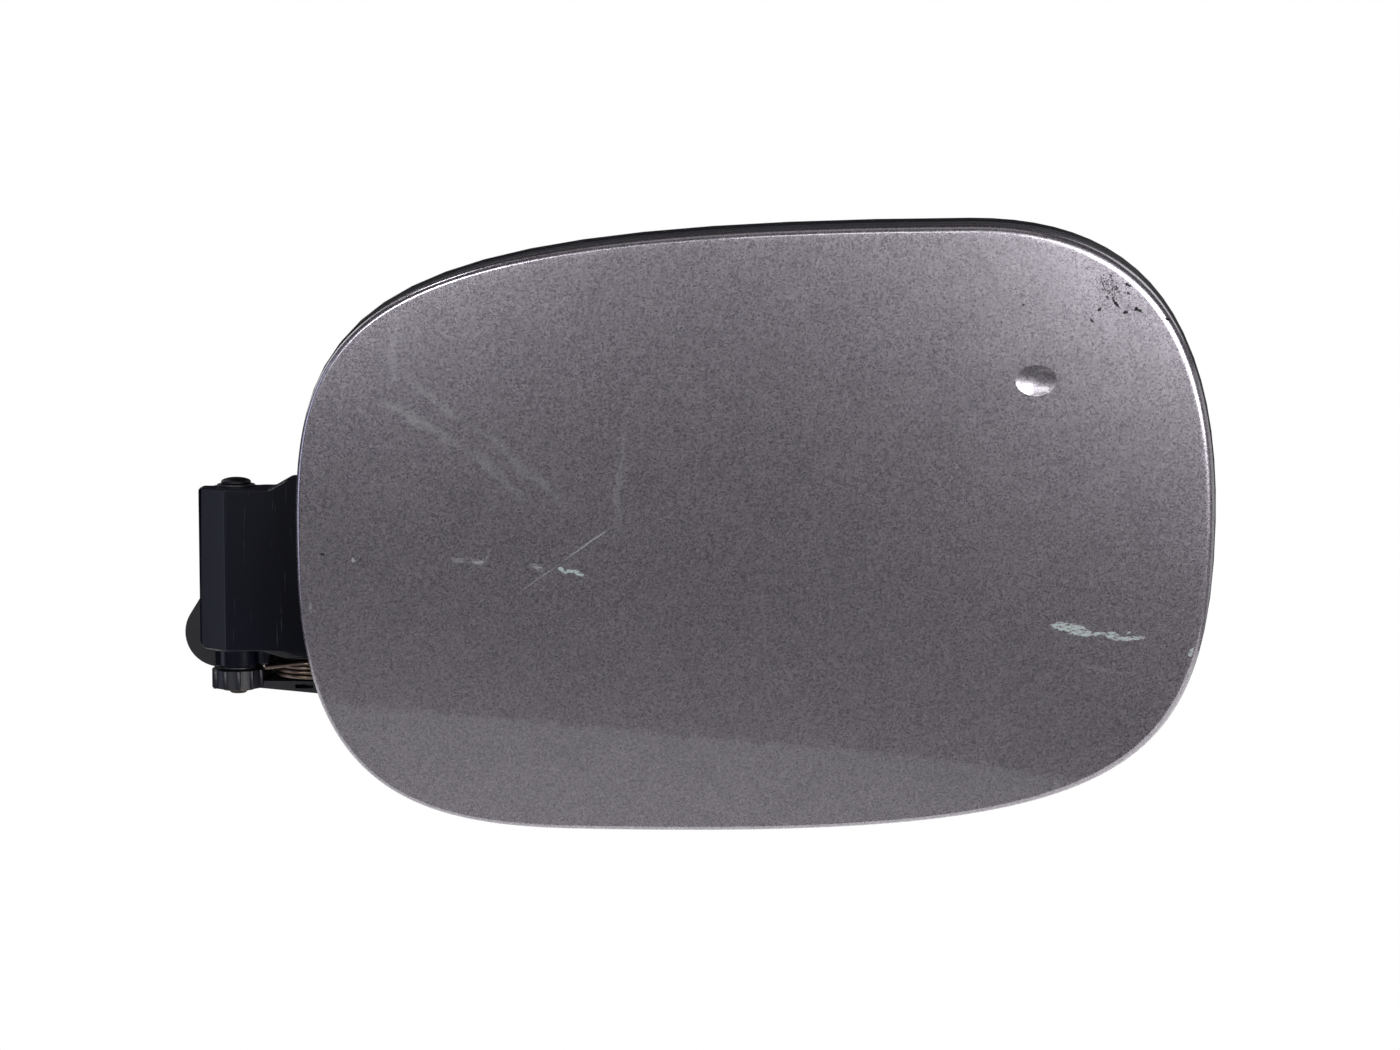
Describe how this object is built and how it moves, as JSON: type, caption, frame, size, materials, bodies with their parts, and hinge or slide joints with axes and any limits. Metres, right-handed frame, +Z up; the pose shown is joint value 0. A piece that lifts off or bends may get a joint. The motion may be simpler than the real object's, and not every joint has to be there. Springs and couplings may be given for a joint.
{
  "type": "car fuel door",
  "caption": "Crowned oval fuel door panel on a moulded carrier, swung by a gooseneck hinge arm on an upright pin with an over-centre spring.",
  "frame": {"origin": "on the hinge base's back mounting face, level with the hinge arm's middle and behind the hinge pin", "axes": "+Z up along the hinge pin, +X along the door away from the hinge, -Y out of the painted face"},
  "size_m": [0.2274, 0.0484, 0.1327],
  "materials": {
    "grey_metallic_paint": "grey metallic paint under clear coat, lightly scratched",
    "black_carrier": "moulded black plastic",
    "black_arm": "smooth moulded black plastic with rub marks",
    "black_base": "moulded dark grey plastic",
    "bush_plastic": "natural bearing plastic",
    "screw_steel": "zinc-plated steel",
    "plated_steel": "zinc-plated steel, dull",
    "spring_steel": "drawn spring wire",
    "black_rubber": "moulded rubber"
  },
  "bodies": {
    "base": {"hinge_base": "black_base", "hinge_pin": "plated_steel", "pin_clip": "spring_steel", "torsion_spring": "spring_steel", "base_sleeve_1": "plated_steel", "base_sleeve_2": "plated_steel", "base_sleeve_3": "plated_steel"},
    "door": {"outer_skin": "grey_metallic_paint", "inner_panel": "black_carrier", "hinge_arm": "black_arm", "upper_bush": "bush_plastic", "lower_bush": "bush_plastic", "arm_screw_1": "screw_steel", "arm_screw_2": "screw_steel", "arm_screw_3": "screw_steel", "arm_screw_4": "screw_steel", "striker": "plated_steel", "striker_screw_1": "screw_steel", "striker_screw_2": "screw_steel", "cap_holder": "black_carrier", "bump_stop_upper": "black_rubber", "bump_stop_lower": "black_rubber"}
  },
  "joints": [
    {"name": "door_hinge", "type": "hinge", "parent": "base", "child": "door", "pos_m": [0, -0.013, 0], "axis": [0, 0, -1], "range_deg": [0, 100], "deforming": ["torsion_spring"]}
  ]
}
